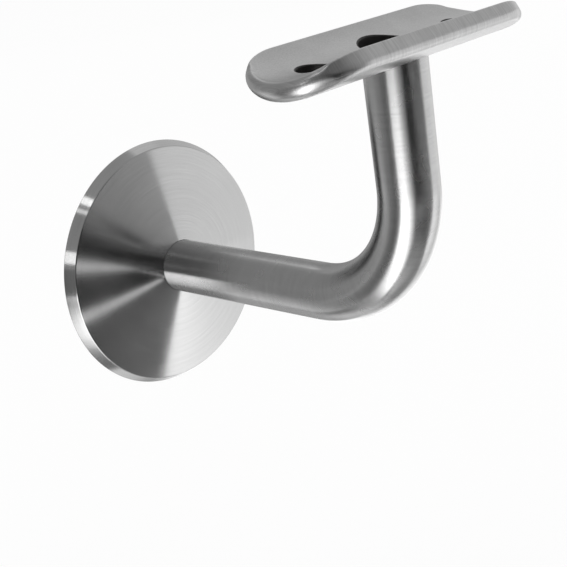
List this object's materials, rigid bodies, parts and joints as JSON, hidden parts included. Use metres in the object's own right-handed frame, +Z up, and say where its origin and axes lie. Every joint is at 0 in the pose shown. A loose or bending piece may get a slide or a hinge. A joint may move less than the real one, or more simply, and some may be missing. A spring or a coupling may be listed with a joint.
{
  "type": "handrail bracket",
  "caption": "Stainless handrail bracket: a bent round bar joins a conical wall flange to a curved saddle plate with screw holes, which carries a round rail tube along a wall.",
  "frame": {"origin": "centre of the flange's wall side, on the bar's axis", "axes": "+Y into the wall, X along the wall and the rail, +Z up towards the rail; the arm leaves the wall towards -Y"},
  "size_m": [0.064, 0.0866, 0.0832],
  "materials": {
    "turned_flange_steel": "fine turned, circular grain",
    "ground_bar_steel": "ground along the bar",
    "satin_plate_steel": "satin, with ground edges",
    "weld_steel": "as welded, brushed clean"
  },
  "bodies": {
    "root": {"wall_flange": "turned_flange_steel", "bracket_arm": "ground_bar_steel", "saddle_plate": "satin_plate_steel", "flange_weld": "weld_steel", "saddle_weld": "weld_steel"}
  },
  "joints": []
}
